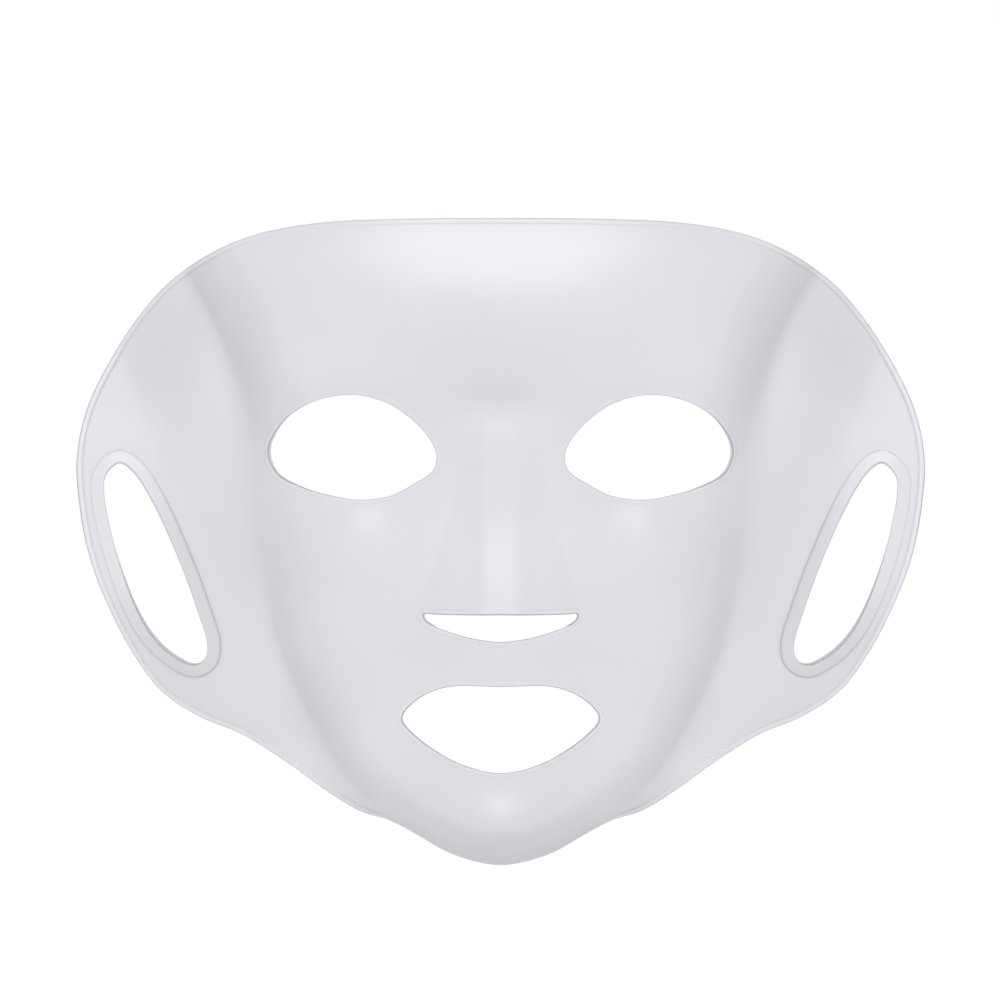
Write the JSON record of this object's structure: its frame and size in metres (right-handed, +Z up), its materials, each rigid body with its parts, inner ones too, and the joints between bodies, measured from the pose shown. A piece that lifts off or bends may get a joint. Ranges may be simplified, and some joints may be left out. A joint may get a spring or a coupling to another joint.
{
  "type": "silicone face mask cover",
  "caption": "Thin moulded silicone face mask with shaped nose and chin, eye, nostril and mouth openings, and slotted side wings that loop over the ears.",
  "frame": {"origin": "midway between the two eye openings, in the plane of the ear slots", "axes": "+Z up to the brow, -Y out of the front of the mask, +X towards the wearer's left ear"},
  "size_m": [0.2554, 0.063, 0.1934],
  "materials": {
    "silicone_sheet": "milky translucent silicone, satin",
    "silicone_edge": "milky translucent silicone, satin, thicker edge"
  },
  "bodies": {
    "face": {"face_shell": "silicone_sheet", "nose_cover": "silicone_sheet", "brow_edge_bead": "silicone_edge", "nostril_lip": "silicone_edge", "upper_mouth_lip": "silicone_edge", "left_eye_lip": "silicone_edge", "right_eye_lip": "silicone_edge", "left_jaw_edge_bead": "silicone_edge", "right_jaw_edge_bead": "silicone_edge", "left_jaw_flex": "silicone_sheet", "right_jaw_flex": "silicone_sheet", "left_temple_flex": "silicone_sheet", "right_temple_flex": "silicone_sheet"},
    "chin": {"chin_cup": "silicone_sheet", "chin_edge_bead": "silicone_edge", "lower_mouth_lip": "silicone_edge"},
    "left_wing": {"left_wing_panel": "silicone_sheet", "left_upper_wing_edge_bead": "silicone_edge", "left_lower_wing_edge_bead": "silicone_edge", "left_ear_rim_front": "silicone_edge", "left_upper_strap_flex": "silicone_sheet", "left_lower_strap_flex": "silicone_sheet"},
    "right_wing": {"right_wing_panel": "silicone_sheet", "right_upper_wing_edge_bead": "silicone_edge", "right_lower_wing_edge_bead": "silicone_edge", "right_ear_rim_front": "silicone_edge", "right_upper_strap_flex": "silicone_sheet", "right_lower_strap_flex": "silicone_sheet"},
    "left_strap": {"left_ear_strap": "silicone_sheet", "left_ear_rim_back": "silicone_edge", "left_strap_edge_bead": "silicone_edge"},
    "right_strap": {"right_ear_strap": "silicone_sheet", "right_ear_rim_back": "silicone_edge", "right_strap_edge_bead": "silicone_edge"}
  },
  "joints": [
    {"name": "left_wing_fold", "type": "hinge", "parent": "face", "child": "left_wing", "pos_m": [0.08513, -0.00219, -0.02065], "axis": [0.2584, 0.065, 0.9638], "range_deg": [-20, 65], "deforming": ["left_temple_flex"]},
    {"name": "right_wing_fold", "type": "hinge", "parent": "face", "child": "right_wing", "pos_m": [-0.08513, -0.00219, -0.02065], "axis": [0.2584, -0.065, -0.9638], "range_deg": [-20, 65], "deforming": ["right_temple_flex"]},
    {"name": "left_strap_flex", "type": "hinge", "parent": "left_wing", "child": "left_strap", "pos_m": [0.10343, 0.00317, -0.03384], "axis": [0.3657, 0.0221, 0.9305], "range_deg": [-10, 50], "deforming": ["left_upper_strap_flex", "left_lower_strap_flex"]},
    {"name": "right_strap_flex", "type": "hinge", "parent": "right_wing", "child": "right_strap", "pos_m": [-0.10343, 0.00317, -0.03384], "axis": [0.3657, -0.0221, -0.9305], "range_deg": [-10, 50], "deforming": ["right_upper_strap_flex", "right_lower_strap_flex"]},
    {"name": "chin_flex", "type": "hinge", "parent": "face", "child": "chin", "pos_m": [0, -0.0385, -0.0801], "axis": [1, 0, 0], "range_deg": [-8, 10], "deforming": ["left_jaw_flex", "right_jaw_flex"]}
  ]
}
